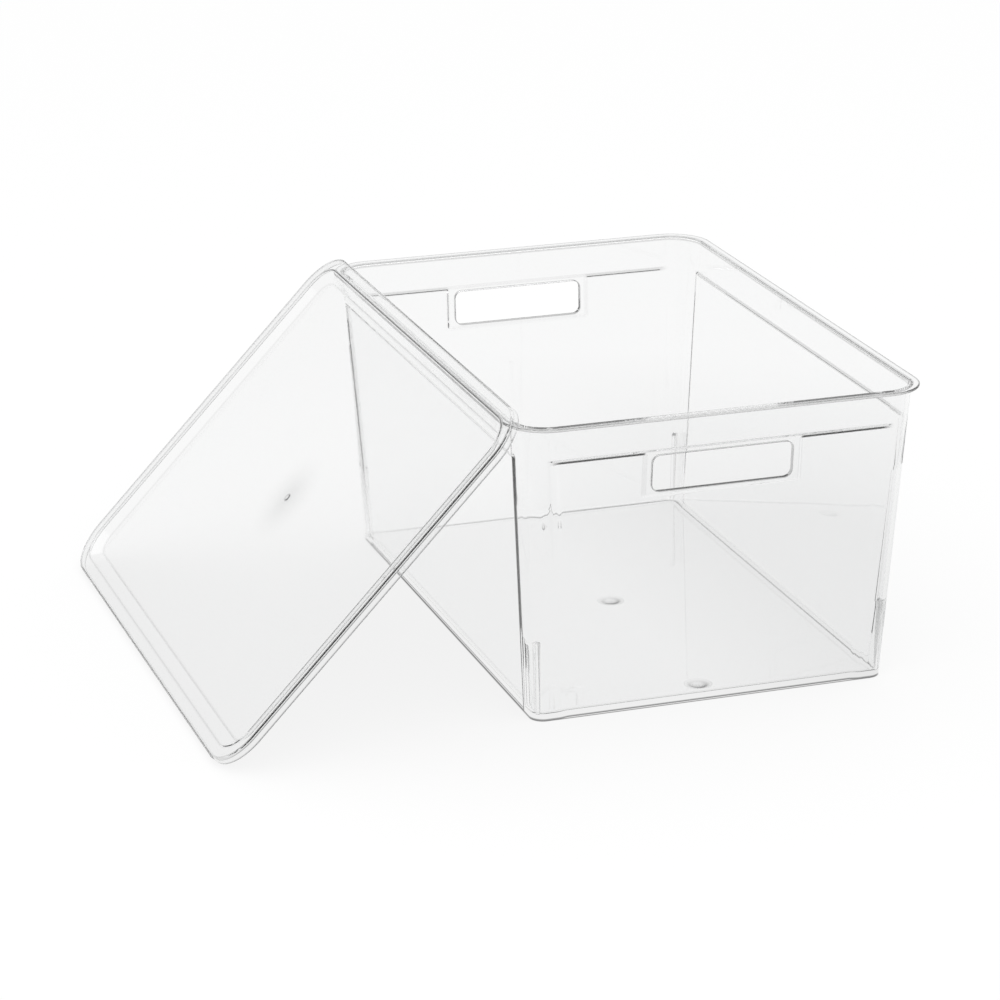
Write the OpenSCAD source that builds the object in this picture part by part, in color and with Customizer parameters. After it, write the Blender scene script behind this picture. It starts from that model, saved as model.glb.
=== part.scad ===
// Clear storage box with two hand holes and a lift-off lid.
// The lid stands on its lower edge beside the box and leans on the left side of the rim.
// Origin: middle of the box's underside. X runs across the faces with hand holes, Y to the back, Z up.

/* [Box] */
// Width over the rim, from side to side
box_w = 311; // [260:1:400]
// Depth over the rim, from front to back
box_d = 449; // [320:1:600]
// Height from the table to the top of the rim
box_h = 222; // [140:1:250]
// Thickness of the walls
wall = 2.3; // [1.8:0.1:3]
// Thickness of the floor
floor_t = 2.5; // [1.8:0.1:3.5]
// Slope of the walls, in degrees from upright
draft = 4.1; // [1:0.1:5]
// Radius of the outside corners at the foot
foot_r = 10; // [9:1:18]
// Radius of the edge between the walls and the underside
foot_edge = 1.8; // [1:0.1:2.5]
// Radius inside the box, between the walls and the floor
floor_fillet = 6; // [3:0.5:6]

/* [Rim] */
// How far the rim stands out past the wall
rim_out = 5.7; // [4:0.1:8]
// Thickness of the rim
rim_t = 2; // [1.6:0.1:3]
// Radius of the fillet under the rim
rim_fillet = 1.5; // [0.8:0.1:2.5]

/* [Side panels] */
// Height of the plain band between the rim and the panels
band_h = 27; // [15:1:30]
// How far the panels step in
panel_in = 1.4; // [0.8:0.1:1.8]
// Distance of a panel's upright edges from the corner of the box
panel_edge = 23; // [20:1:32]

/* [Hand holes] */
// Width of a hand hole
hand_w = 104.5; // [80:0.5:140]
// Height of a hand hole
hand_h = 26.5; // [20:0.5:40]
// Corner radius of a hand hole
hand_r = 5.5; // [3:0.5:9]
// Distance from the panel's top edge down to the hand hole
hand_drop = 2.3; // [1.5:0.1:8]
// Width of the flush frame at the sides of a hand hole
hand_frame_side = 6; // [4:0.5:12]
// Height of the flush frame under a hand hole
hand_frame_foot = 3; // [2:0.5:8]

/* [Corner ribs and floor] */
// Height of the ribs in the inside corners
rib_h = 60; // [30:1:90]
// Thickness of a rib
rib_t = 3; // [2:0.1:4]
// How far a rib stands in from the wall at the floor
rib_in = 0.8; // [0.5:0.1:1.5]
// Radius of the round top of a rib
rib_top_r = 3; // [2:0.5:4]
// Diameter of the shallow dishes in the floor
dish_d = 20; // [10:1:30]
// Depth of the shallow dishes
dish_depth = 0.8; // [0.4:0.1:1.2]
// Distance of the outer dishes from the middle one
dish_pitch = 177; // [60:1:180]

/* [Lid] */
// Height of the lid's skirt
skirt_h = 6.6; // [5:0.1:12]
// Thickness of the skirt
skirt_t = 1.6; // [1.2:0.1:2.5]
// Thickness of the lid elsewhere
lid_t = 1.8; // [1.4:0.1:2.5]
// Depth of the tray in the top of the lid
tray_d = 6.8; // [4:0.1:10]
// Width of the tray's sloping sides
tray_slope_w = 8.7; // [5:0.1:10]
// Radius of the lid's outer top edge
lid_edge = 1.4; // [0.6:0.1:1.6]
// Diameter of the moulding mark in the middle of the lid
mark_d = 5; // [3:0.5:8]
// Height of the moulding mark
mark_h = 0.4; // [0.2:0.1:0.8]
// Clearance between the rim's edge and the lid's skirt
rim_gap = 0.4; // [0.2:0.1:1]
// Clearance between the box's inside and the lid's tray, when the lid is on
tray_gap = 0.3; // [0.2:0.1:1]

/* [Lid leaning on the box] */
// How far down the tray's sloping side the rim bears, as a share of its width
bear_at = 0.3; // [0.1:0.05:0.6]
// Gap between the rim and the lid that leans on it
lean_gap = 0.3; // [0.1:0.1:1]

/* [Hidden] */
$fn = 96;
CLEAR = [0.93, 0.94, 0.95, 0.45];
FAR = 20;
EPS = 0.01;

// Walls: half sizes of the outside under the rim, and the corner axes, which are upright
wall_across = wall / cos(draft);
top_inset = box_h * tan(draft);
corner_r = foot_r + top_inset;
half_w = box_w / 2 - rim_out;
half_d = box_d / 2 - rim_out;
axis_x = half_w - corner_r;
axis_y = half_d - corner_r;
rim_r = rim_t / 2;

// Hand holes: heights above the table
panel_top = box_h - band_h;
hand_top = panel_top - hand_drop;
hand_mid = hand_top - hand_h / 2;
frame_bottom = hand_top - hand_h - hand_frame_foot;

// Lid: the band on top spans the skirt, the rim and the wall
slope_angle = atan(tray_d / tray_slope_w);
miter = lid_t * tan(slope_angle / 2);
band_w = skirt_t + rim_gap + rim_out + wall_across + tray_gap + miter;
lid_r = corner_r + rim_out + rim_gap + skirt_t;
lid_w = 2 * (axis_x + lid_r);
tray_r = lid_r - band_w;
tray_floor_r = tray_r - tray_slope_w;
panel_z = skirt_h - tray_d;

// Leaning lid: the middle of the rim's round edge, first seen from the lid, then from the box
bear_off = rim_r + lean_gap;
bear_u = lid_w - (band_w - miter + bear_at * tray_slope_w) + bear_off * sin(slope_angle);
bear_n = skirt_h - lid_t - bear_at * tray_d - bear_off * cos(slope_angle);
rim_x = -box_w / 2 + rim_r;
rim_z = box_h - rim_r;
lean = asin(rim_z / norm([bear_u, bear_n])) - atan2(bear_n, bear_u);
lid_foot_x = rim_x - bear_u * cos(lean) + bear_n * sin(lean);

// A section swept round the box: x is measured outwards from the corner axes
module swept() {
    for (sx = [-1, 1], sy = [-1, 1])
        translate([sx * axis_x, sy * axis_y, 0])
            rotate([0, 0, sx > 0 ? (sy > 0 ? 0 : -90) : (sy > 0 ? 90 : 180)])
                rotate_extrude(angle = 90) children();
    for (side = [0, 180])
        rotate([0, 0, side]) {
            translate([axis_x, axis_y, 0])
                rotate([90, 0, 0]) linear_extrude(2 * axis_y) children();
            translate([-axis_x, axis_y, 0])
                rotate([90, 0, 90]) linear_extrude(2 * axis_x) children();
        }
}

// Flat slab between the corner axes
module middle(z, t) {
    translate([-axis_x, -axis_y, z]) cube([2 * axis_x, 2 * axis_y, t]);
}

// Half of a tapered block in section: foot at radius r and height z, edge rounded by round_r
module taper_section(r, z, top, round_r) {
    mid_z = z + round_r;
    mid_x = r + round_r * tan(draft) - round_r / cos(draft);
    polygon([
        [0, z],
        [mid_x, z],
        [mid_x + round_r * cos(draft), mid_z - round_r * sin(draft)],
        [r + (top - z) * tan(draft), top],
        [0, top]
    ]);
    intersection() {
        translate([mid_x, mid_z]) circle(round_r);
        translate([0, z]) square([r + round_r, 2 * round_r]);
    }
}

module rim_section() {
    translate([corner_r - wall_across, box_h - rim_t])
        square([wall_across + rim_out - rim_r, rim_t]);
    translate([corner_r + rim_out - rim_r, box_h - rim_r]) circle(rim_r);
    under = box_h - rim_t - rim_fillet;
    difference() {
        translate([corner_r - rim_fillet, under]) square([2 * rim_fillet, rim_fillet]);
        translate([corner_r + rim_fillet, under]) circle(rim_fillet);
    }
}

// Puts a shape drawn flat onto a sloping face: x along it, y up it from the rim, z outwards
module on_face(distance) {
    translate([0, -distance, box_h]) rotate([90 + draft, 0, 0]) children();
}

// Outline of a panel, which narrows with the box; grow widens it for the inside of the wall
module panel_outline(half, grow) {
    up = 1 / cos(draft);
    top = band_h - grow;
    low = box_h + FAR;
    top_half = half - top * tan(draft) - panel_edge + grow;
    low_half = half - low * tan(draft) - panel_edge + grow;
    polygon([
        [-low_half, -low * up],
        [low_half, -low * up],
        [top_half, -top * up],
        [-top_half, -top * up]
    ]);
}

// Flush frame round a hand hole, which the panel leaves out on the outside
module frame_outline() {
    up = 1 / cos(draft);
    frame_w = hand_w + 2 * hand_frame_side;
    translate([-frame_w / 2, -(box_h - frame_bottom) * up])
        square([frame_w, (panel_top - frame_bottom + FAR) * up]);
}

// What the four panels take off a block whose walls lie inset from the outside by this much
module panel_cuts(inset, grow, framed) {
    for (side = [0, 180]) {
        rotate([0, 0, side]) on_face(half_d - inset)
            translate([0, 0, -panel_in]) linear_extrude(FAR)
                difference() {
                    panel_outline(half_w, grow);
                    if (framed) frame_outline();
                }
        rotate([0, 0, side + 90]) on_face(half_w - inset)
            translate([0, 0, -panel_in]) linear_extrude(FAR)
                panel_outline(half_d, grow);
    }
}

module outside() {
    difference() {
        union() {
            swept() taper_section(foot_r, 0, box_h, foot_edge);
            middle(0, box_h);
        }
        panel_cuts(0, 0, true);
    }
}

module inside() {
    difference() {
        union() {
            swept() taper_section(foot_r - wall_across + floor_t * tan(draft),
                floor_t, box_h + FAR, floor_fillet);
            middle(floor_t, box_h + FAR - floor_t);
        }
        panel_cuts(wall_across, panel_in, false);
    }
}

module rounded_rect(w, h, r) {
    square([w - 2 * r, h], center = true);
    square([w, h - 2 * r], center = true);
    for (sx = [-1, 1], sy = [-1, 1])
        translate([sx * (w / 2 - r), sy * (h / 2 - r)]) circle(r);
}

// One cutter reaches through the front and the back wall
module hand_holes() {
    translate([0, half_d + FAR, hand_mid]) rotate([90, 0, 0])
        linear_extrude(2 * (half_d + FAR)) rounded_rect(hand_w, hand_h, hand_r);
}

// Upright ribs across the inside corners; the sloping wall runs away from them upwards
module corner_ribs() {
    inner = foot_r - wall_across - rib_in;
    outer = foot_r + rib_h * tan(draft) - wall_across / 2;
    for (sx = [-1, 1], sy = [-1, 1])
        translate([sx * axis_x, sy * axis_y, floor_t - EPS])
            rotate([90, 0, sx > 0 ? sy * 45 : sy * 135])
                translate([0, 0, -rib_t / 2]) linear_extrude(rib_t) {
                    translate([inner, 0]) square([outer - inner, rib_h - floor_t - rib_top_r]);
                    translate([inner + rib_top_r, 0])
                        square([outer - inner - rib_top_r, rib_h - floor_t]);
                    translate([inner + rib_top_r, rib_h - floor_t - rib_top_r]) circle(rib_top_r);
                }
}

module floor_dishes() {
    dish_sphere_r = (pow(dish_d / 2, 2) + pow(dish_depth, 2)) / (2 * dish_depth);
    for (k = [-1:1])
        translate([0, k * dish_pitch, floor_t - dish_depth])
            intersection() {
                translate([0, 0, dish_sphere_r]) sphere(dish_sphere_r);
                cylinder(d = dish_d + 1, h = dish_depth + EPS);
            }
}

module box_body() {
    color(CLEAR) {
        difference() {
            union() {
                outside();
                swept() rim_section();
            }
            inside();
            hand_holes();
            floor_dishes();
        }
        intersection() {
            corner_ribs();
            swept() taper_section(foot_r, 0, box_h, foot_edge);
        }
    }
}

// Lid in section, upper side up; its skirt stands on z = 0
module lid_section() {
    skirt_in = lid_r - skirt_t;
    polygon([
        [lid_r, 0],
        [lid_r, skirt_h - lid_edge],
        [lid_r - lid_edge, skirt_h],
        [tray_r, skirt_h],
        [tray_floor_r, panel_z],
        [0, panel_z],
        [0, panel_z - lid_t],
        [tray_floor_r + miter, panel_z - lid_t],
        [tray_r + miter, skirt_h - lid_t],
        [skirt_in, skirt_h - lid_t],
        [skirt_in, 0]
    ]);
    translate([lid_r - lid_edge, skirt_h - lid_edge]) circle(lid_edge);
}

module lid_flat() {
    swept() lid_section();
    middle(panel_z - lid_t, lid_t);
    translate([0, 0, panel_z - EPS]) cylinder(d = mark_d, h = mark_h + EPS);
}

module lid() {
    color(CLEAR)
        translate([lid_foot_x, 0, 0]) rotate([0, -lean, 0])
            translate([lid_w / 2, 0, 0]) lid_flat();
}

box_body();
lid();
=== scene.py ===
"""Clear moulded storage box with two hand holes; its lid leans on the left side of the rim.

Shapes are worked out in millimetres and handed to Blender in metres. X runs across the faces
with the hand holes, Y to the back, Z up, with the origin under the middle of the box.
"""
from math import asin, atan, atan2, ceil, cos, hypot, pi, radians, sin, sqrt, tan

import bmesh
import bpy
from mathutils import Matrix, Vector


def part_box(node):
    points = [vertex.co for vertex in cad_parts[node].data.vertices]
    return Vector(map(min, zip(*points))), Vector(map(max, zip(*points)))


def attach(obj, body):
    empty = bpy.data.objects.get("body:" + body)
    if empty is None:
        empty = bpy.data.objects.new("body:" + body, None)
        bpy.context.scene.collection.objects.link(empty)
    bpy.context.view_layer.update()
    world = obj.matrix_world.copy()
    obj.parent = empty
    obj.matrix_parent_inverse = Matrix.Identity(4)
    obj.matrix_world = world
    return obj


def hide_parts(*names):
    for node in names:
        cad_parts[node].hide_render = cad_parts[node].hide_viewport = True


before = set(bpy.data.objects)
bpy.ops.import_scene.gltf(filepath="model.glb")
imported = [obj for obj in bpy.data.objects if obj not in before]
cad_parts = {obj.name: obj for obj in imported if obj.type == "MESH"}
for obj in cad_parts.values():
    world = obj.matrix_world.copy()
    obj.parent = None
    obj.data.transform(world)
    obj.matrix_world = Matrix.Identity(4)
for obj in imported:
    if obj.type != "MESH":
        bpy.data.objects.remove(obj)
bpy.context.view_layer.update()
scene = bpy.context.scene

MM = 0.001

# Box: sizes over all come from the frame, the others are those of the moulding
box_low, box_high = (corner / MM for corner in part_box("box_body"))
BOX_W = box_high.x - box_low.x
BOX_D = box_high.y - box_low.y
BOX_H = box_high.z - box_low.z
WALL = 2.3
FLOOR_T = 2.5
DRAFT = radians(4.1)
FOOT_R = 10.0
FOOT_EDGE = 1.8
FLOOR_FILLET = 6.0
RIM_OUT = 5.7
RIM_T = 2.0
RIM_FILLET = 1.5
RIM_EDGE = 0.95
RIM_INNER_EDGE = 0.6
BAND_H = 27.0
PANEL_IN = 1.4
PANEL_EDGE = 23.0
STEP_FILLET = 0.4
STEP_STEEP = radians(50)
SOFT_FILLET = 12.0
SOFT_STEEP = radians(12)
SIDE_FILLET = 0.5
SIDE_STEEP = radians(55)
FRAME_FILLET = 1.6
FRAME_STEEP = radians(40)
INNER_STEP_SPREAD = 4.0
PAINTED_SHADE_STRIP_W = 1.8

# Hand holes in the front and the back
HAND_W = 104.5
HAND_H = 26.5
HAND_R = 5.5
HAND_DROP = 2.3
HAND_FRAME_SIDE = 6.0
HAND_FRAME_FOOT = 3.0
HAND_EDGE = 0.5
HAND_EDGE_TURNS = (0, 30, 60, 90)

# Ribs in the corners and shallow dishes in the floor
RIB_H = 60.0
RIB_T = 3.0
RIB_IN = 0.8
RIB_TOP_R = 3.0
RIB_TOP_TURNS = (0, 20, 40, 60, 75, 86)
ABOVE_RIB = 0.1
RIB_FLANK = 0.6
RIB_FILLET = 0.21
RIB_STEEP = radians(78)
DISH_D = 20.0
DISH_DEPTH = 0.8
DISH_PITCH = 177.0

# Lid
SKIRT_H = 6.6
SKIRT_T = 1.6
SKIRT_FOOT_R = 0.5
LID_T = 1.8
TRAY_D = 6.8
TRAY_SLOPE_W = 8.7
LID_EDGE = 1.7
BAND_EDGE = 0.8
TRAY_FILLET = 1.6
SKIRT_FILLET = 0.6
MARK_D = 5.0
MARK_H = 0.4
MARK_FILLET = 0.3
MARK_EDGE = 0.15
MARK_TOP_R = 0.6
MARK_APRON = 1.5
RIM_GAP = 0.4
TRAY_GAP = 0.3
BEAR_AT = 0.3
LEAN_GAP = 0.3

# Mesh: turn of one arc facet, guard distance that keeps flats flat beside a fillet, facet counts
ARC_STEP = radians(18)
GUARD = 0.6
STEP_FACETS = 3
CORNER_COLUMNS = 18
LID_CORNER_COLUMNS = 24
HOLE_CORNER_FACETS = 8
DISH_FACETS = 48
MARK_FACETS = 32
DIAGONAL = sqrt(0.5)

# Painted shade: how dark each edge of the box, and of the mark on the lid, is painted, 0 to 1, in
# dark lines that stand in for the shading by refraction at the rounded edges, darker on the front
# and left; a rounded edge at its start, middle and end
FOOT_LINES = (0.8, 0.9, 0.8)
FAR_FOOT_LINE = 0.4
RIM_ROOT_LINES = (0.4, 0.4, 0.4)
RIM_UNDER_LINES = (0.6, 0.6, 0.6)
RIM_TOP_LINES = (0.4, 0.25, 0.1)
RIM_INNER_LINES = (0.2, 0.35, 0.35)
FILLET_LINES = (0.0, 0.0, 0.35)
LEDGE_LINE = 1.0
OTHER_LEDGE_LINE = 0.35
INNER_LEDGE_LINE = 0.15
EDGE_LINE = 0.95
OTHER_EDGE_LINE = 0.05
FRAME_SIDE_LINE = 0.08
FRAME_FOOT_LINE = 0.05
HOLE_LINE = 0.65
RIB_LINE = 0.3
RIB_TOP_LINE = 0.9
DISH_RINGS = ((1.0, 0.3), (0.93, 0.15), (0.8, 0.35), (0.6, 0.7), (0.3, 0.35))
DISH_FRONT_PAINTED_SHADE = 0.6
MARK_LINES = (0.5, 0.5, 0.5)

# Painted shade of the same kind for the lid's folds: on the side over the box, on the front, and on
# the other two
FLAT, TRAY, BAND, TOP, TOP_ENDS, FOOT, ROOT, UNDER = range(8)
FOLD_PAINTED_SHADE = {
    FLAT: (0.0, 0.0, 0.0),
    TRAY: (0.1, 1.0, 0.15),
    BAND: (1.0, 0.45, 0.25),
    TOP: (0.1, 0.0, 0.25),
    TOP_ENDS: (0.1, 1.0, 0.25),
    FOOT: (0.1, 0.6, 0.4),
    ROOT: (0.1, 0.2, 0.2),
    UNDER: (0.1, 0.1, 0.05),
}

# Clear plastic: noise scales in features per metre, and how much each noise does
BOX_TINT = (0.968, 0.97, 0.97, 1)
LID_TINT = (0.95, 0.952, 0.952, 1)
BOX_SEED = 1.0
LID_SEED = 21.0
SMUDGE_SEED = 5.0
GRAIN_SEED = 9.0
PLASTIC_IOR = 1.49
SHADOW_PASS = 0.93
WAVE_SCALE = 14.0
WAVE_STRENGTH = 0.05
WAVE_HEIGHT = 0.002
SMUDGE_SCALE = 9.0
GRAIN_SCALE = 900.0
GLOSS = 0.008
SMUDGE_DULLS = 0.05
GRAIN_DULLS = 0.006
PAINTED_CLOUD_DARK = 0.4
PAINTED_CLOUD_REACH = 0.042

# Table top, in metres: it glows to show white; where it is seen in the plastic it has painted shade,
# darker far away and towards the right
TABLE_HALF = 6.0
TABLE_Z = 0.0001
TABLE_PAINT = 0.16
TABLE_GLOW = 0.85
FAR_DIMS = 0.03
RIGHT_DIMS = 0.13
RIGHT_RISE = 4.0
NEAR_START = 1.7
NEAR_FALL = 2.6

# Painted contact shadow: a dark line on the table where the box's foot meets it, in millimetres
CONTACT_SHADOW_DARK = 0.9
CONTACT_SHADOW_REACH = 1.3
CONTACT_SHADOW_IN = 0.8

# Surroundings: their brightness, and the heights between which it changes; straight up is 1
SURROUND = 0.95
OVERHEAD = 0.05
OVERHEAD_FROM, OVERHEAD_TO = 0.1, 0.16
MIRRORED_OVERHEAD = 1.6
MIRRORED_FROM, MIRRORED_TO = 0.6, 0.7
DIFFUSE_SURROUND = 0.85
LAMP_PLACE = (-0.4, -0.5, 2.4)
LAMP_SIZE = 1.6
LAMP_POWER = 12.0
LIGHT_BOUNCES = 32

# Camera: place in metres, turns in radians, lens in millimetres
CAMERA_PLACE = (-0.9323, -2.4319, 0.9967)
CAMERA_YAW = 0.33386
CAMERA_DOWN = 0.33752
CAMERA_ROLL = -0.00063
CAMERA_LENS = 131.72
SENSOR_W = 36.0
SIGHT_END = 100.0

# Derived sizes
SLOPE = tan(DRAFT)
WALL_ACROSS = WALL / cos(DRAFT)
PANEL_ACROSS = PANEL_IN / cos(DRAFT)
CORNER_R = FOOT_R + BOX_H * SLOPE
AXIS_X = BOX_W / 2 - RIM_OUT - CORNER_R
AXIS_Y = BOX_D / 2 - RIM_OUT - CORNER_R
LEDGE_Z = BOX_H - BAND_H
HAND_TOP = LEDGE_Z - HAND_DROP
HAND_MID = HAND_TOP - HAND_H / 2
FRAME_FOOT_Z = HAND_TOP - HAND_H - HAND_FRAME_FOOT
FRAME_HALF = HAND_W / 2 + HAND_FRAME_SIDE
RIB_FACE_R = FOOT_R - WALL_ACROSS - RIB_IN

slope_angle = atan(TRAY_D / TRAY_SLOPE_W)
MITER = LID_T * tan(slope_angle / 2)
BAND_W = SKIRT_T + RIM_GAP + RIM_OUT + WALL_ACROSS + TRAY_GAP + MITER
LID_R = CORNER_R + RIM_OUT + RIM_GAP + SKIRT_T
LID_W = 2 * (AXIS_X + LID_R)
TRAY_R = LID_R - BAND_W
TRAY_FLOOR_R = TRAY_R - TRAY_SLOPE_W
PANEL_Z = SKIRT_H - TRAY_D

# The leaning lid bears on the round edge of the rim
bear_off = RIM_T / 2 + LEAN_GAP
bear_u = LID_W - (BAND_W - MITER + BEAR_AT * TRAY_SLOPE_W) + bear_off * sin(slope_angle)
bear_n = SKIRT_H - LID_T - BEAR_AT * TRAY_D - bear_off * cos(slope_angle)
LEAN = asin((BOX_H - RIM_T / 2) / hypot(bear_u, bear_n)) - atan2(bear_n, bear_u)
LID_FOOT_X = -BOX_W / 2 + RIM_T / 2 - bear_u * cos(LEAN) + bear_n * sin(LEAN)


def rounded(corners):
    """Points (x, z, mark) along an open outline through (x, z, radius, marks) corners.

    The marks of a corner go to its arc's start, middle and end; the flats have 0.
    """
    at = [Vector(corner[:2]) for corner in corners]
    reach, half_turn = [0.0], [0.0]
    for k in range(1, len(corners) - 1):
        turn = (at[k] - at[k - 1]).angle(at[k + 1] - at[k])
        half_turn.append(turn / 2)
        reach.append(corners[k][2] * tan(turn / 2))
    reach.append(0.0)
    points = [at[0].to_3d()]
    for k in range(1, len(corners) - 1):
        back = (at[k - 1] - at[k]).normalized()
        on = (at[k + 1] - at[k]).normalized()
        start = at[k] + back * reach[k]
        centre = at[k] + (back + on).normalized() * corners[k][2] / cos(half_turn[k])
        facets = max(2, ceil(2 * half_turn[k] / ARC_STEP))
        spoke = start - centre
        way = 1 if -back.x * on.y + back.y * on.x > 0 else -1
        if (at[k] - at[k - 1]).length - reach[k] - reach[k - 1] > 3 * GUARD:
            points.append((start + back * GUARD).to_3d())
        first, middle, last = corners[k][3]
        for facet in range(facets + 1):
            turn = way * 2 * half_turn[k] * facet / facets
            points.append(Vector((
                centre.x + spoke.x * cos(turn) - spoke.y * sin(turn),
                centre.y + spoke.x * sin(turn) + spoke.y * cos(turn),
                {0: first, facets: last}.get(facet, middle))))
        if (at[k + 1] - at[k]).length - reach[k] - reach[k + 1] > 3 * GUARD:
            points.append((points[-1].to_2d() + on * GUARD).to_3d())
    points.append(at[-1].to_3d())
    return points


def step_profile(depth, fillet, steepness):
    """Stations across a moulded step: (distance from its middle, share of the depth, darkness of its
    painted shade).
    """
    fall = 2 * fillet * (1 - cos(steepness))
    straight = (depth - fall) / sin(steepness)
    half = fillet * sin(steepness) + straight * cos(steepness) / 2
    turns = [steepness * k / STEP_FACETS for k in range(STEP_FACETS + 1)]
    upper = [(half - fillet * sin(turn), fillet * (1 - cos(turn)) / depth, 1.0) for turn in turns]
    lower = [(-place, 1 - share, line) for place, share, line in reversed(upper)]
    stations = [(half + GUARD, 0.0, 0.0)] + upper + lower + [(-half - GUARD, 1.0, 0.0)]
    return sorted(stations)


def with_painted_shade_strip(stations, width):
    """The step, with a strip of painted shade of this width beside it, on the side not recessed,
    standing in for the dark band refraction shows there.
    """
    end = stations[-1][0]
    return stations[:-1] + [(end - GUARD + width, 0.0, 1.0), (end + width, 0.0, 0.0)]


def across_step(stations, place):
    """Share of a step's depth, and the darkness of its painted shade, at a distance from its middle.
    """
    if place <= stations[0][0]:
        return stations[0][1:]
    for low, high in zip(stations, stations[1:]):
        if place <= high[0]:
            part = (place - low[0]) / (high[0] - low[0])
            return [a + (b - a) * part for a, b in zip(low[1:], high[1:])]
    return stations[-1][1:]


PANEL_STEP = step_profile(PANEL_IN, STEP_FILLET, STEP_STEEP)
SOFT_STEP = step_profile(PANEL_IN, SOFT_FILLET, SOFT_STEEP)
# The left side's step has a strip of painted shade beside it
SIDE_STEP = with_painted_shade_strip(step_profile(PANEL_IN, SIDE_FILLET, SIDE_STEEP), PAINTED_SHADE_STRIP_W)
FRAME_STEP = step_profile(PANEL_IN, FRAME_FILLET, FRAME_STEEP)
RIB_STEP = step_profile(RIB_FLANK, RIB_FILLET, RIB_STEEP)


class Row:
    """One level of the box's skin: how far out from the corner axes, how high, how dark its edge's
    painted shade is.

    panel is its share of the panels' recess, framed its share of the hand hole's frame, edge the
    distance of the panels' upright edges past the corner axes, rib_r the rib's face.
    """

    def __init__(self, point, inner):
        self.out, self.z, self.line = point
        self.inner = inner
        self.face_r = FOOT_R + self.z * SLOPE
        ledge = LEDGE_Z + (PANEL_IN if inner else 0)
        self.panel, self.ledge_painted_shade = across_step(PANEL_STEP, self.z - ledge)
        self.recess = self.panel * PANEL_ACROSS
        below, self.frame_painted_shade = across_step(FRAME_STEP, self.z - FRAME_FOOT_Z)
        self.framed = 0 if inner else 1 - below
        self.edge = self.face_r - PANEL_EDGE + (PANEL_IN if inner else 0)
        self.rib_r = self.out
        if inner and self.z < RIB_H:
            over = max(0.0, self.z - RIB_H + RIB_TOP_R)
            self.rib_r = RIB_FACE_R + RIB_TOP_R - sqrt(RIB_TOP_R ** 2 - over ** 2)
        on_rib_top = RIB_H - RIB_TOP_R / 2 < self.z <= RIB_H + ABOVE_RIB
        self.rib_top = 1.0 if inner and on_rib_top else 0.0


class Side:
    """One upright side of the box: directions along it and out of it, and its corner axis."""

    def __init__(self, along, outward, axis_along, axis_out, framed):
        self.along, self.outward = Vector(along), Vector(outward)
        self.axis_along, self.axis_out = axis_along, axis_out
        self.columns, self.framed = [], framed
        if framed:
            self.columns += [("frame", FRAME_HALF + place, *rest) for place, *rest in FRAME_STEP]
        self.step = SOFT_STEP if framed else SIDE_STEP if self.outward.x < 0 else FRAME_STEP
        self.columns += [("edge", *station) for station in self.step]
        self.columns += [("corner", k / CORNER_COLUMNS, 0, 0) for k in range(1, CORNER_COLUMNS)]
        self.columns += [("rib", RIB_T / 2 + place, *rest) for place, *rest in reversed(RIB_STEP)]
        self.columns.append(("rib", 0.0, 1.0, 0.0))

    def at(self, across, outward, z):
        return self.along * across + self.outward * outward + Vector((0, 0, z))

    def point(self, column, hand, row):
        """Where one column of this side crosses a row; hand is 1 or -1 for the side's halves."""
        kind, place, share, _ = column
        if kind == "frame":
            recess = row.recess * (1 - share * row.framed)
            return self.at(hand * place, self.axis_out + row.out - recess, row.z)
        if kind == "edge":
            across = self.axis_along + row.edge + place * self.spread(row)
            return self.bent(across, row.out - row.recess * share, hand, row)
        widest = (RIB_T / 2 + RIB_STEP[-1][0]) * min(1.0, row.out / RIB_FACE_R)
        if kind == "corner":
            start = row.edge + self.step[-1][0] * self.spread(row)
            end = row.face_r * (pi / 4 - asin(widest / row.out))
            return self.bent(self.axis_along + start + (end - start) * place, row.out, hand, row)
        aside = place * min(1.0, row.out / RIB_FACE_R)
        wall_r = sqrt(row.out ** 2 - aside ** 2)
        reach = wall_r + share * (min(wall_r, row.rib_r) - wall_r)
        across = self.axis_along + (reach - aside) * DIAGONAL
        return self.at(hand * across, self.axis_out + (reach + aside) * DIAGONAL, row.z)

    def spread(self, row):
        """How much gentler the step is on the inside than on the outside."""
        return INNER_STEP_SPREAD if row.inner and not self.framed else 1.0

    def line(self, column, hand, row):
        """How dark the painted shade of the edge is where one column of this side crosses a row."""
        kind, _, share, line = column
        # Painted shade is stronger on the front and left, weaker on the back and right
        front, left = self.outward.y < 0, self.outward.x < 0
        ledge = LEDGE_LINE if front else OTHER_LEDGE_LINE
        upright = EDGE_LINE if left and self.along.y * hand < 0 else OTHER_EDGE_LINE
        if row.inner:
            ledge = INNER_LEDGE_LINE
        if row.inner or self.framed:
            upright = 0.0
        at_foot = row.z < FLOOR_T + FLOOR_FILLET
        drawn = [row.line if front or left or not at_foot else row.line * FAR_FOOT_LINE]
        if kind == "frame":
            drawn.append(ledge * row.ledge_painted_shade * (1 - share * row.framed))
            drawn.append(FRAME_SIDE_LINE * line * row.framed * row.panel)
            drawn.append(FRAME_FOOT_LINE * row.frame_painted_shade * share * (0 if row.inner else 1))
        if kind == "edge":
            drawn.append(ledge * row.ledge_painted_shade * share)
            drawn.append(upright * line * row.panel)
        if kind == "rib" and row.rib_r < row.out:
            drawn.append(max(RIB_LINE * line, RIB_TOP_LINE * row.rib_top * share))
        return max(drawn)

    def bent(self, across, out, hand, row):
        """A point on the side's flat, or past the corner axis on the corner's arc."""
        past = across - self.axis_along
        if past <= 0:
            return self.at(hand * across, self.axis_out + out, row.z)
        turn = past / row.face_r
        return self.at(
            hand * (self.axis_along + out * sin(turn)), self.axis_out + out * cos(turn), row.z)


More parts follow.
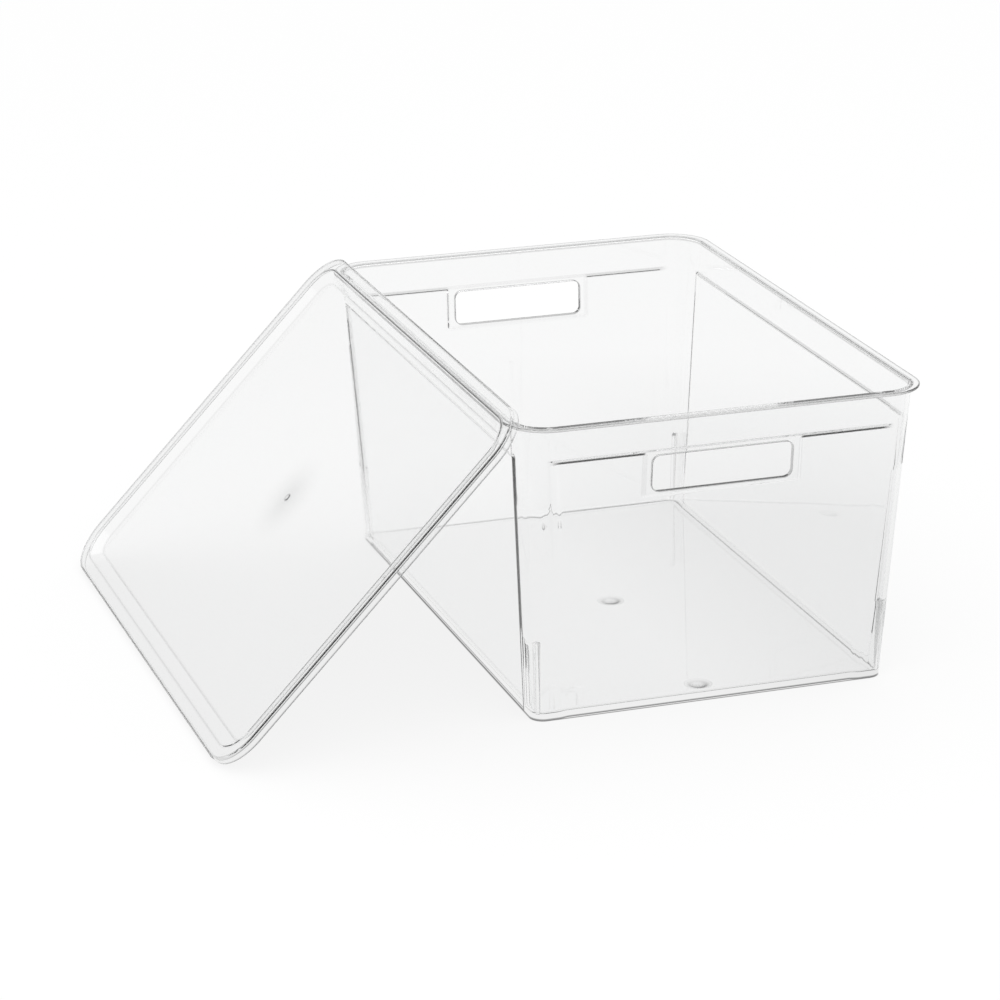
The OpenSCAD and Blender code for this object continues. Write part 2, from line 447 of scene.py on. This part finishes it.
# Front, right, back and left, in the order that goes once round the box
SIDES = [
    Side((1, 0, 0), (0, -1, 0), AXIS_X, AXIS_Y, True),
    Side((0, 1, 0), (1, 0, 0), AXIS_Y, AXIS_X, False),
    Side((-1, 0, 0), (0, 1, 0), AXIS_X, AXIS_Y, True),
    Side((0, -1, 0), (-1, 0, 0), AXIS_Y, AXIS_X, False),
]


def box_rows():
    """Rows of the skin, from the underside up the outside, over the rim and down the inside."""
    under_rim = BOX_H - RIM_T
    outline = rounded([
        (FOOT_R - FOOT_EDGE - 2 * GUARD, 0),
        (FOOT_R, 0, FOOT_EDGE, FOOT_LINES),
        (FOOT_R + under_rim * SLOPE, under_rim, RIM_FILLET, RIM_ROOT_LINES),
        (CORNER_R + RIM_OUT, under_rim, RIM_EDGE, RIM_UNDER_LINES),
        (CORNER_R + RIM_OUT, BOX_H, RIM_EDGE, RIM_TOP_LINES),
        (CORNER_R - WALL_ACROSS, BOX_H, RIM_INNER_EDGE, RIM_INNER_LINES),
        (FOOT_R + FLOOR_T * SLOPE - WALL_ACROSS, FLOOR_T, FLOOR_FILLET, FILLET_LINES),
        (FOOT_R - WALL_ACROSS - FLOOR_FILLET - GUARD, FLOOR_T),
    ])
    outer_rows = [FRAME_FOOT_Z + station[0] for station in FRAME_STEP]
    outer_rows += [LEDGE_Z + station[0] for station in PANEL_STEP]
    frame_row = FRAME_FOOT_Z + FRAME_STEP[-1][0]
    inner_rows = [LEDGE_Z + PANEL_IN + station[0] for station in PANEL_STEP] + [frame_row]
    inner_rows += [RIB_H - RIB_TOP_R + RIB_TOP_R * sin(radians(turn)) for turn in RIB_TOP_TURNS]
    inner_rows += [RIB_H + ABOVE_RIB, RIB_H + GUARD, RIB_H - RIB_TOP_R - GUARD]
    points, inner = [outline[0]], [False]
    for before, here in zip(outline, outline[1:]):
        rising = here.y > before.y
        low, high = sorted((before.y, here.y))
        heights = sorted(z for z in (outer_rows if rising else inner_rows) if low < z < high)
        for z in heights if rising else reversed(heights):
            points.append(before.lerp(here, (z - before.y) / (here.y - before.y)))
            inner.append(not rising)
        points.append(here)
        inner.append(inner[-1] or here.y < before.y)
    return [Row(point, is_inner) for point, is_inner in zip(points, inner)]


def new_mesh():
    """Empty mesh whose points carry how dark the painted shade of the edge is there."""
    mesh = bmesh.new()
    mesh.verts.layers.float.new("line")
    return mesh


def add_point(mesh, place, line):
    """A point of the mesh, and how dark the painted shade of the edge is there."""
    point = mesh.verts.new(place)
    point[mesh.verts.layers.float["line"]] = line
    return point


def skin(mesh, rings):
    """Quads between rings that have the same number of points; returns them row by row."""
    rows = []
    for low, high in zip(rings, rings[1:]):
        turned = list(zip(low, low[1:] + low[:1], high[1:] + high[:1], high))
        rows.append([mesh.faces.new(corners) for corners in turned])
    return rows


def ring_edges(mesh, ring):
    """Edges all round a ring, new where there were none."""
    return [mesh.edges.get(pair) or mesh.edges.new(pair) for pair in zip(ring, ring[1:] + ring[:1])]


def fill(mesh, *rings):
    """Flat sheet inside the first ring, with the other rings as its holes."""
    edges = [edge for ring in rings for edge in ring_edges(mesh, ring)]
    bmesh.ops.triangle_fill(mesh, use_beauty=True, use_dissolve=False, edges=edges)


def hole_outline():
    """Round the hand hole: (across, z, normal across, normal z), normals pointing into the wall."""
    outline = []
    for quarter in range(4):
        middle = pi / 4 + quarter * pi / 2
        side_x, side_z = round(cos(middle) * sqrt(2)), round(sin(middle) * sqrt(2))
        for k in range(HOLE_CORNER_FACETS + 1):
            turn = quarter * pi / 2 + k * pi / 2 / HOLE_CORNER_FACETS
            outline.append((
                side_x * (HAND_W / 2 - HAND_R) + HAND_R * cos(turn),
                HAND_MID + side_z * (HAND_H / 2 - HAND_R) + HAND_R * sin(turn),
                cos(turn), sin(turn)))
    return outline


def hand_hole(mesh, side, outer_cell, inner_cell):
    """Rounded hole through the wall, between a cut cell of the outside and one of the inside."""
    turns = [radians(turn) for turn in HAND_EDGE_TURNS]
    levels = [(HAND_EDGE + GUARD / 2, 0.0, 0, 0.0)]
    levels += [(HAND_EDGE * (1 - sin(t)), HAND_EDGE * (1 - cos(t)), 0, HOLE_LINE) for t in turns]
    levels += [(spread, deep, 1, line) for spread, deep, _, line in reversed(levels)]
    rings = []
    for spread, deep, inner, line in levels:
        ring = []
        for across, z, to_side, to_top in hole_outline():
            x, height = across + spread * to_side, z + spread * to_top
            face = side.axis_out + FOOT_R + height * SLOPE
            y = face - WALL_ACROSS - PANEL_ACROSS + deep if inner else face - deep
            ring.append(add_point(mesh, side.at(x, y, height), line))
        rings.append(ring)
    skin(mesh, rings)
    fill(mesh, outer_cell, rings[0])
    fill(mesh, inner_cell, rings[-1])


def dish(mesh, middle_y):
    """Shallow round dish in the floor; returns the ring that joins it to the floor."""
    reach = DISH_D / 2
    rings = []
    for share, line in ((1 + GUARD / reach, 0), *DISH_RINGS):
        z = FLOOR_T - DISH_DEPTH * max(0.0, 1 - share ** 2)
        ring = []
        for k in range(DISH_FACETS):
            turn = k * 2 * pi / DISH_FACETS
            at = (share * reach * cos(turn), middle_y + share * reach * sin(turn), z)
            # Painted shade: the dish's rings are drawn darker on their front side than at the back
            ring.append(add_point(mesh, at, line * (1 - DISH_FRONT_PAINTED_SHADE * sin(turn))))
        rings.append(ring)
    skin(mesh, rings)
    mesh.faces.new(rings[-1])
    return rings[0]


def finished(name, mesh, place=Matrix.Identity(4)):
    """Turns a mesh in millimetres into a smooth closed object in metres."""
    bmesh.ops.recalc_face_normals(mesh, faces=mesh.faces)
    if any(len(edge.link_faces) != 2 for edge in mesh.edges):
        raise ValueError(f"{name} isn't closed")
    mesh.transform(Matrix.Scale(MM, 4) @ place)
    for face in mesh.faces:
        face.smooth = True
    data = bpy.data.meshes.new(name)
    mesh.to_mesh(data)
    mesh.free()
    piece = bpy.data.objects.new(name, data)
    scene.collection.objects.link(piece)
    return piece


def make_box():
    """Skin of the box in rings of one row each, with the hand holes cut and the floor filled in."""
    mesh = new_mesh()
    rows = box_rows()
    rings = []
    for row in rows:
        ring = []
        for side in SIDES:
            columns = [(column, -1) for column in reversed(side.columns[:-1])]
            columns += [(column, 1) for column in side.columns]
            for column, hand in columns:
                place = side.point(column, hand, row)
                ring.append(add_point(mesh, place, side.line(column, hand, row)))
        rings.append(ring)
    faces = skin(mesh, rings)
    # The middle quad of each side, counted round a ring
    middles, first = [], 0
    for side in SIDES:
        middles.append(first + len(side.columns) - 2)
        first += 2 * len(side.columns) - 1
    for side, middle in zip(SIDES, middles):
        if not side.framed:
            continue
        cells = []
        for k, (low, high) in enumerate(zip(rows, rows[1:])):
            if (low.z - HAND_MID) * (high.z - HAND_MID) < 0:
                cells.append([rings[k][middle], rings[k][middle + 1],
                              rings[k + 1][middle + 1], rings[k + 1][middle]])
                mesh.faces.remove(faces[k][middle])
        hand_hole(mesh, side, *cells)
    fill(mesh, rings[0])
    fill(mesh, rings[-1], *[dish(mesh, k * DISH_PITCH) for k in (-1, 0, 1)])
    return finished("clear_box", mesh)


def lid_ring(mesh, out, z, fold):
    """Level ring of the lid, this far out from the corner axes, with the painted shade of its fold.
    """
    ring = []
    for quarter, (side_x, side_y) in enumerate([(1, -1), (1, 1), (-1, 1), (-1, -1)]):
        start = quarter * pi / 2 - pi / 2
        centre = Vector((side_x * AXIS_X, side_y * AXIS_Y, z))
        for k in range(-1, LID_CORNER_COLUMNS + 2):
            turn = start + max(0, min(k, LID_CORNER_COLUMNS)) * pi / 2 / LID_CORNER_COLUMNS
            point = centre + Vector((out * cos(turn), out * sin(turn), 0))
            beyond = k - max(0, min(k, LID_CORNER_COLUMNS))
            point += Vector((-sin(turn), cos(turn), 0)) * beyond * 2 * GUARD
            # Painted shade by side: each fold has its own darkness over the box, on the front and on
            # the other two sides
            over_box, front = max(0.0, cos(turn)) ** 2, max(0.0, -sin(turn)) ** 2
            shares = (over_box, front, 1 - over_box - front)
            line = sum(share * part for share, part in zip(shares, FOLD_PAINTED_SHADE[fold]))
            ring.append(add_point(mesh, point, line))
    return ring


def make_lid():
    """The leaning lid, and the middle of its moulding mark in metres."""
    mesh = new_mesh()
    skirt_in = LID_R - SKIRT_T
    outline = rounded([
        (TRAY_FLOOR_R - TRAY_FILLET, PANEL_Z),
        (TRAY_FLOOR_R, PANEL_Z, TRAY_FILLET, (TRAY, TRAY, TRAY)),
        (TRAY_R, SKIRT_H, BAND_EDGE, (BAND, BAND, BAND)),
        (LID_R, SKIRT_H, LID_EDGE, (TOP_ENDS, TOP, TOP_ENDS)),
        (LID_R, 0, SKIRT_FOOT_R, (FOOT, FOOT, FOOT)),
        (skirt_in, 0, SKIRT_FOOT_R, (FOOT, FOOT, FOOT)),
        (skirt_in, SKIRT_H - LID_T, SKIRT_FILLET, (ROOT, ROOT, ROOT)),
        (TRAY_R + MITER, SKIRT_H - LID_T, BAND_EDGE + LID_T, (UNDER, UNDER, UNDER)),
        (TRAY_FLOOR_R + MITER, PANEL_Z - LID_T, TRAY_FILLET / 2, (UNDER, UNDER, UNDER)),
        (TRAY_FLOOR_R - TRAY_FILLET, PANEL_Z - LID_T),
    ])
    rings = [lid_ring(mesh, out, z, round(fold)) for out, z, fold in outline]
    skin(mesh, rings)
    mark_outline = rounded([
        (MARK_D / 2 + MARK_APRON, PANEL_Z),
        (MARK_D / 2, PANEL_Z, MARK_FILLET, MARK_LINES),
        (MARK_D / 2 - MARK_EDGE, PANEL_Z + MARK_H, MARK_EDGE, MARK_LINES),
        (MARK_TOP_R, PANEL_Z + MARK_H),
    ])
    turns = [k * 2 * pi / MARK_FACETS for k in range(MARK_FACETS)]
    mark = [[add_point(mesh, (out * cos(turn), out * sin(turn), z), line) for turn in turns]
            for out, z, line in mark_outline]
    skin(mesh, mark)
    mesh.faces.new(mark[-1])
    fill(mesh, rings[0], mark[0])
    fill(mesh, rings[-1])
    place = (Matrix.Translation((LID_FOOT_X, 0, 0)) @ Matrix.Rotation(-LEAN, 4, "Y")
             @ Matrix.Translation((LID_W / 2, 0, 0)))
    return finished("clear_lid", mesh, place), place @ Vector((0, 0, PANEL_Z)) * MM


class Socket:
    """A shader value that takes part in plain arithmetic."""

    def __init__(self, tree, socket):
        self.tree, self.socket = tree, socket

    def math(self, operation, first, second):
        node = self.tree.nodes.new("ShaderNodeMath")
        node.operation = operation
        for slot, value in enumerate((first, second)):
            plug(self.tree, node.inputs[slot], value)
        return Socket(self.tree, node.outputs[0])

    def __add__(self, other):
        return self.math("ADD", self, other)

    def __radd__(self, other):
        return self.math("ADD", other, self)

    def __sub__(self, other):
        return self.math("SUBTRACT", self, other)

    def __rsub__(self, other):
        return self.math("SUBTRACT", other, self)

    def __mul__(self, other):
        return self.math("MULTIPLY", self, other)

    def __rmul__(self, other):
        return self.math("MULTIPLY", other, self)

    def __truediv__(self, other):
        return self.math("DIVIDE", self, other)

    def __pow__(self, other):
        return self.math("POWER", self, other)

    def __abs__(self):
        return self.math("ABSOLUTE", self, 0.0)

    def at_least(self, low):
        return self.math("MAXIMUM", self, low)

    def limited(self, low, high):
        return self.math("MINIMUM", self.at_least(low), high)


# Which sockets of a Mix node take the share and the two colours, and which gives the colour
MIX_SHARE, MIX_FIRST, MIX_SECOND, MIX_COLOUR = 0, 6, 7, 2


def plug(tree, socket, value):
    """Links a socket, or sets its own value."""
    if isinstance(value, Socket):
        tree.links.new(value.socket, socket)
    else:
        socket.default_value = value


class Shader:
    """Nodes of one material or of the world."""

    def __init__(self, owner):
        owner.use_nodes = True
        self.tree = owner.node_tree
        self.tree.nodes.clear()

    def node(self, kind, settings=None, sockets=None, output=0):
        """Adds a node with these settings and sockets, and returns one of its outputs."""
        made = self.tree.nodes.new("ShaderNode" + kind)
        for name, value in (settings or {}).items():
            if name == "stops":
                ramp = made.color_ramp
                while len(ramp.elements) < len(value):
                    ramp.elements.new(0.5)
                for element, (place, colour) in zip(ramp.elements, value):
                    element.position, element.color = place, colour
            else:
                setattr(made, name, value)
        for name, value in (sockets or {}).items():
            plug(self.tree, made.inputs[name], value)
        return Socket(self.tree, made.outputs[output]) if made.outputs else None

    def mix(self, share, first, second):
        """A colour between two: the first at a share of 0, the second at 1."""
        sockets = {MIX_SHARE: share, MIX_FIRST: first, MIX_SECOND: second}
        return self.node("Mix", {"data_type": "RGBA"}, sockets, MIX_COLOUR)

    def noise(self, place, seed, scale, **sockets):
        """Noise in four directions; the seed is its place along the fourth."""
        sockets = {"Vector": place, "W": seed, "Scale": scale, **sockets}
        return self.node("TexNoise", {"noise_dimensions": "4D"}, sockets, "Fac")


def grey(level):
    return (level, level, level, 1)


def clear_plastic(name, tint, seed, mark_middle=None):
    """Polished clear moulding: painted shade in dark lines along the edges, faint flow waves,
    handling marks that dull the gloss.

    Round the moulding mark, a faint grey cloud of painted reflection darkens the colour.
    """
    material = bpy.data.materials.new(name)
    shader = Shader(material)
    place = shader.node("TexCoord", None, None, "Object")
    waves = shader.noise(place, seed, WAVE_SCALE, Detail=1.0, Roughness=0.4)
    smudge_and_cloud_noise = shader.noise(
        place, seed + SMUDGE_SEED, SMUDGE_SCALE, Detail=5.0, Roughness=0.6, Distortion=0.4)
    grain = shader.noise(place, seed + GRAIN_SEED, GRAIN_SCALE, Detail=2.0)
    roughness = GLOSS + SMUDGE_DULLS * smudge_and_cloud_noise * smudge_and_cloud_noise + GRAIN_DULLS * grain
    normal = shader.node("Bump", None, {
        "Height": waves, "Strength": WAVE_STRENGTH, "Distance": WAVE_HEIGHT}, "Normal")
    # Painted shade: dark lines kept at the mesh's points stand in for the shading by refraction at
    # the rounded edges
    painted_shade_and_reflection = shader.node("Attribute", {"attribute_name": "line"}, None, "Fac")
    # Painted reflection: a faint grey cloud round the moulding mark, varied by the smudge noise
    if mark_middle:
        away = shader.node("VectorMath", {"operation": "DISTANCE"}, {0: place, 1: mark_middle}, "Value")
        painted_shade_and_reflection = painted_shade_and_reflection + PAINTED_CLOUD_DARK * smudge_and_cloud_noise * (1 - away / PAINTED_CLOUD_REACH).limited(0.0, 1.0) ** 2
    plastic = shader.node("BsdfPrincipled", None, {
        "Base Color": shader.mix(painted_shade_and_reflection.limited(0.0, 1.0), tint, grey(0.0)),
        "Roughness": roughness,
        "IOR": PLASTIC_IOR,
        "Transmission Weight": 1.0,
        "Normal": normal,
    })
    shadow_ray = shader.node("LightPath", None, None, "Is Shadow Ray")
    let_through = shader.node("BsdfTransparent", None, {"Color": grey(SHADOW_PASS)})
    mixed = shader.node("MixShader", None, {"Fac": shadow_ray, 1: plastic, 2: let_through})
    shader.node("OutputMaterial", None, {"Surface": mixed})
    return material


def make_floor():
    """Pale table top that runs out of the picture on all sides.

    It lies a hair above the box's underside, so that no gap under the box traps light.
    """
    mesh = bmesh.new()
    corners = [(-1, -1), (1, -1), (1, 1), (-1, 1)]
    mesh.faces.new([mesh.verts.new((x * TABLE_HALF, y * TABLE_HALF, TABLE_Z)) for x, y in corners])
    data = bpy.data.meshes.new("table_top")
    mesh.to_mesh(data)
    mesh.free()
    table = bpy.data.objects.new("table_top", data)
    scene.collection.objects.link(table)
    data.materials.append(white_table())


def white_table():
    """Matt white, with a painted contact shadow: a thin dark line where the box's rounded foot meets
    it.

    near is 1 beside the box and 0 far from it, right is 0 at its middle and 1 past its right side.
    """
    material = bpy.data.materials.new("white_table")
    shader = Shader(material)
    paint = shader.node("BsdfDiffuse", None, {"Color": grey(TABLE_PAINT)})
    place = shader.node("TexCoord", None, None, "Object")
    x = shader.node("SeparateXYZ", None, {"Vector": place}, "X")
    y = shader.node("SeparateXYZ", None, {"Vector": place}, "Y")
    away = shader.node("VectorMath", {"operation": "LENGTH"}, {0: place}, "Value")
    near = (NEAR_START - NEAR_FALL * away).limited(0.0, 1.0)
    right = (RIGHT_RISE * x).limited(0.0, 1.0)
    camera_ray = shader.node("LightPath", None, None, "Is Camera Ray")
    # Painted shade, only in what the plastic shows: the table is darker far from the box and towards
    # the right beside it
    table_painted_shade = FAR_DIMS - FAR_DIMS * near + RIGHT_DIMS * right * near
    level = TABLE_GLOW - (1 - camera_ray) * table_painted_shade
    # Painted contact shadow round the outline of the box's foot
    past_x = (abs(x) - AXIS_X * MM).at_least(0.0)
    past_y = (abs(y) - AXIS_Y * MM).at_least(0.0)
    from_foot = (past_x * past_x + past_y * past_y) ** 0.5 - (FOOT_R - CONTACT_SHADOW_IN) * MM
    contact_shadow = (1 - abs(from_foot) / (CONTACT_SHADOW_REACH * MM)).limited(0.0, 1.0)
    colour = shader.mix(level * (1 - CONTACT_SHADOW_DARK * contact_shadow), grey(0.0), grey(1.0))
    glow = shader.node("Emission", None, {"Color": colour, "Strength": 1.0})
    both = shader.node("AddShader", None, {0: paint, 1: glow})
    shader.node("OutputMaterial", None, {"Surface": both})
    return material


def make_world():
    """White surroundings, dark overhead as seen through the plastic and bright as mirrored in it."""
    world = bpy.data.worlds.new("studio")
    scene.world = world
    shader = Shader(world)
    direction = shader.node("TexCoord", None, None, "Generated")
    height = shader.node("SeparateXYZ", None, {"Vector": direction}, "Z")
    through = shader.node("ValToRGB", {"stops": [
        (0.0, grey(SURROUND)), (OVERHEAD_FROM, grey(SURROUND)),
        (OVERHEAD_TO, grey(OVERHEAD)), (1.0, grey(OVERHEAD))]}, {"Fac": height}, "Color")
    mirrored = shader.node("ValToRGB", {"stops": [
        (0.0, grey(SURROUND)), (MIRRORED_FROM, grey(SURROUND)),
        (MIRRORED_TO, grey(MIRRORED_OVERHEAD)), (1.0, grey(MIRRORED_OVERHEAD))]},
        {"Fac": height}, "Color")
    reflections = shader.node("LightPath", None, None, "Glossy Depth").limited(0.0, 1.0)
    camera_ray = shader.node("LightPath", None, None, "Is Camera Ray")
    diffuse_ray = shader.node("LightPath", None, None, "Is Diffuse Ray")
    seen = shader.mix(camera_ray, shader.mix(reflections, through, mirrored), grey(1.0))
    lit = shader.mix(diffuse_ray, seen, grey(DIFFUSE_SURROUND))
    sky = shader.node("Background", None, {"Color": lit, "Strength": 1.0})
    shader.node("OutputWorld", None, {"Surface": sky})


def make_camera():
    """The photograph's viewpoint."""
    forward = Vector((
        sin(CAMERA_YAW) * cos(CAMERA_DOWN), cos(CAMERA_YAW) * cos(CAMERA_DOWN), -sin(CAMERA_DOWN)))
    right = Vector((cos(CAMERA_YAW), -sin(CAMERA_YAW), 0))
    below = forward.cross(right)
    picture_x = right * cos(CAMERA_ROLL) + below * sin(CAMERA_ROLL)
    picture_y = below * cos(CAMERA_ROLL) - right * sin(CAMERA_ROLL)
    data = bpy.data.cameras.new("camera")
    data.sensor_width = SENSOR_W
    data.lens = CAMERA_LENS
    data.clip_end = SIGHT_END
    camera = bpy.data.objects.new("camera", data)
    turn = Matrix((picture_x, -picture_y, -forward)).transposed()
    camera.matrix_world = Matrix.Translation(CAMERA_PLACE) @ turn.to_4x4()
    scene.collection.objects.link(camera)
    scene.camera = camera


def make_lamp(name, place, size, power):
    """Soft square lamp that faces the box."""
    data = bpy.data.lights.new(name, "AREA")
    data.shape = "SQUARE"
    data.size = size
    data.energy = power
    lamp = bpy.data.objects.new(name, data)
    lamp.location = place
    lamp.rotation_mode = "QUATERNION"
    lamp.rotation_quaternion = (-Vector(place)).to_track_quat("-Z", "Y")
    scene.collection.objects.link(lamp)


make_camera()

box_piece = make_box()
box_piece.data.materials.append(clear_plastic("clear_box_plastic", BOX_TINT, BOX_SEED))
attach(box_piece, "box")
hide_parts("box_body")

lid_piece, mark_middle = make_lid()
lid_piece.data.materials.append(clear_plastic("clear_lid_plastic", LID_TINT, LID_SEED, mark_middle))
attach(lid_piece, "lid")
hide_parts("lid")

make_floor()
make_world()
make_lamp("soft_overhead", LAMP_PLACE, LAMP_SIZE, LAMP_POWER)

scene.view_settings.view_transform = "Standard"
scene.cycles.max_bounces = LIGHT_BOUNCES
scene.cycles.transmission_bounces = LIGHT_BOUNCES
scene.cycles.glossy_bounces = LIGHT_BOUNCES
scene.cycles.transparent_max_bounces = LIGHT_BOUNCES
scene.cycles.caustics_reflective = False
scene.cycles.caustics_refractive = False
